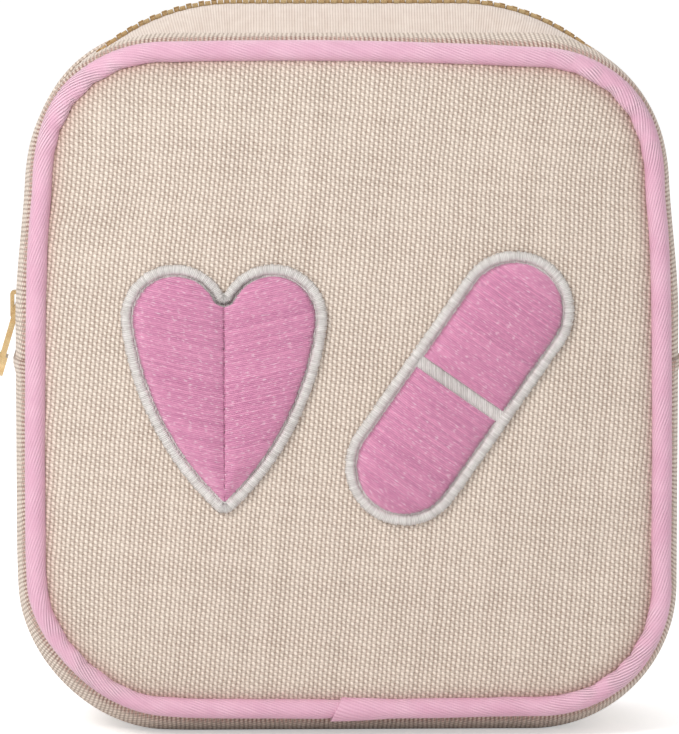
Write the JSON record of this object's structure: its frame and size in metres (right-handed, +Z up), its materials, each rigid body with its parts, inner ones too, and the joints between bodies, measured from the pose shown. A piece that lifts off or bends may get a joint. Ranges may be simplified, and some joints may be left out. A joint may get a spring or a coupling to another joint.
{
  "type": "travel pill organizer",
  "caption": "Small padded canvas pouch with piped edges, a zip over the top, a fold-down front flap and a removable lidded pill box inside.",
  "frame": {"origin": "middle of the flat base, on the surface that the pouch stands on", "axes": "+Z up, front faces -Y, +X to the right seen from the front"},
  "size_m": [0.1392, 0.0508, 0.1481],
  "materials": {
    "canvas": "plain-weave cotton canvas, natural beige, matte",
    "piping": "bias-cut cotton twill, pink, soft sheen",
    "cord": "braided cotton filler cord",
    "foam": "thin open-cell padding",
    "lining": "smooth woven polyester lining",
    "zip_tape": "ribbed cream zip tape",
    "gold_metal": "polished gold-plated brass",
    "binding": "folded grosgrain seam tape",
    "twill_base": "white twill patch cloth",
    "white_thread": "white embroidery thread, satin stitch",
    "pink_thread": "pink embroidery thread, padded satin stitch",
    "mesh": "open knitted mesh",
    "elastic": "folded elastic binding, pink",
    "box_plastic": "moulded polypropylene, milky",
    "lid_plastic": "moulded polypropylene, translucent pink",
    "rod_metal": "drawn steel wire"
  },
  "bodies": {
    "case": {"back_panel": "canvas", "back_padding": "foam", "back_lining": "lining", "front_panel_lower": "canvas", "front_padding_lower": "foam", "front_lining_lower": "lining", "bottom_gusset": "canvas", "gusset_lining": "lining", "front_piping_cover_lower": "piping", "front_piping_cord_lower": "cord", "back_piping_cover": "piping", "back_piping_cord": "cord", "front_zip_strip_lower": "canvas", "back_zip_strip": "canvas", "zip_tape_front_lower": "zip_tape", "zip_tape_back": "zip_tape", "zip_teeth_front_lower": "gold_metal", "zip_teeth_back": "gold_metal", "zip_teeth_parting": "gold_metal", "zip_top_stops": "gold_metal", "zip_bottom_stop": "gold_metal", "front_seam_binding_lower": "binding", "back_seam_binding": "binding", "motif_heart_base": "twill_base", "motif_heart_border": "white_thread", "motif_heart_fill": "pink_thread", "motif_capsule_base": "twill_base", "motif_capsule_border": "white_thread", "motif_capsule_fill": "pink_thread", "mesh_pocket": "mesh", "pocket_binding": "elastic"},
    "flap": {"front_panel_upper": "canvas", "front_padding_upper": "foam", "front_lining_upper": "lining", "front_piping_cover_upper": "piping", "front_piping_cord_upper": "cord", "front_zip_strip_upper": "canvas", "zip_tape_front_upper": "zip_tape", "zip_teeth_front_upper": "gold_metal", "front_seam_binding_upper": "binding"},
    "slider": {"zip_slider": "gold_metal"},
    "pull": {"zip_pull": "gold_metal"},
    "pill_box": {"pill_tray": "box_plastic", "pill_hinge_rod": "rod_metal"},
    "lid_1": {"pill_lid_1": "lid_plastic"},
    "lid_2": {"pill_lid_2": "lid_plastic"},
    "lid_3": {"pill_lid_3": "lid_plastic"},
    "lid_4": {"pill_lid_4": "lid_plastic"},
    "lid_5": {"pill_lid_5": "lid_plastic"},
    "lid_6": {"pill_lid_6": "lid_plastic"},
    "lid_7": {"pill_lid_7": "lid_plastic"}
  },
  "joints": [
    {"name": "flap_fold", "type": "hinge", "parent": "case", "child": "flap", "pos_m": [0, -0.0249, 0.104], "axis": [1, 0, 0], "range_deg": [0, 110]},
    {"name": "slider_travel", "type": "slide", "parent": "case", "child": "slider", "axis": [0, 0, 1], "range_m": [0, 0.012], "deforming": ["zip_teeth_parting"]},
    {"name": "pull_swing", "type": "hinge", "parent": "slider", "child": "pull", "pos_m": [-0.06685, 0, 0.086], "axis": [0, 1, 0], "range_deg": [0, 145]},
    {"name": "box_lift", "type": "slide", "parent": "case", "child": "pill_box", "axis": [0, 0, 1], "range_m": [0, 0.05]},
    {"name": "lid_1_hinge", "type": "hinge", "parent": "pill_box", "child": "lid_1", "pos_m": [0, 0.0172, 0.0326], "axis": [-1, 0, 0], "range_deg": [0, 90]},
    {"name": "lid_2_hinge", "type": "hinge", "parent": "pill_box", "child": "lid_2", "pos_m": [0, 0.0172, 0.0326], "axis": [-1, 0, 0], "range_deg": [0, 90]},
    {"name": "lid_3_hinge", "type": "hinge", "parent": "pill_box", "child": "lid_3", "pos_m": [0, 0.0172, 0.0326], "axis": [-1, 0, 0], "range_deg": [0, 90]},
    {"name": "lid_4_hinge", "type": "hinge", "parent": "pill_box", "child": "lid_4", "pos_m": [0, 0.0172, 0.0326], "axis": [-1, 0, 0], "range_deg": [0, 90]},
    {"name": "lid_5_hinge", "type": "hinge", "parent": "pill_box", "child": "lid_5", "pos_m": [0, 0.0172, 0.0326], "axis": [-1, 0, 0], "range_deg": [0, 90]},
    {"name": "lid_6_hinge", "type": "hinge", "parent": "pill_box", "child": "lid_6", "pos_m": [0, 0.0172, 0.0326], "axis": [-1, 0, 0], "range_deg": [0, 90]},
    {"name": "lid_7_hinge", "type": "hinge", "parent": "pill_box", "child": "lid_7", "pos_m": [0, 0.0172, 0.0326], "axis": [-1, 0, 0], "range_deg": [0, 90]}
  ]
}
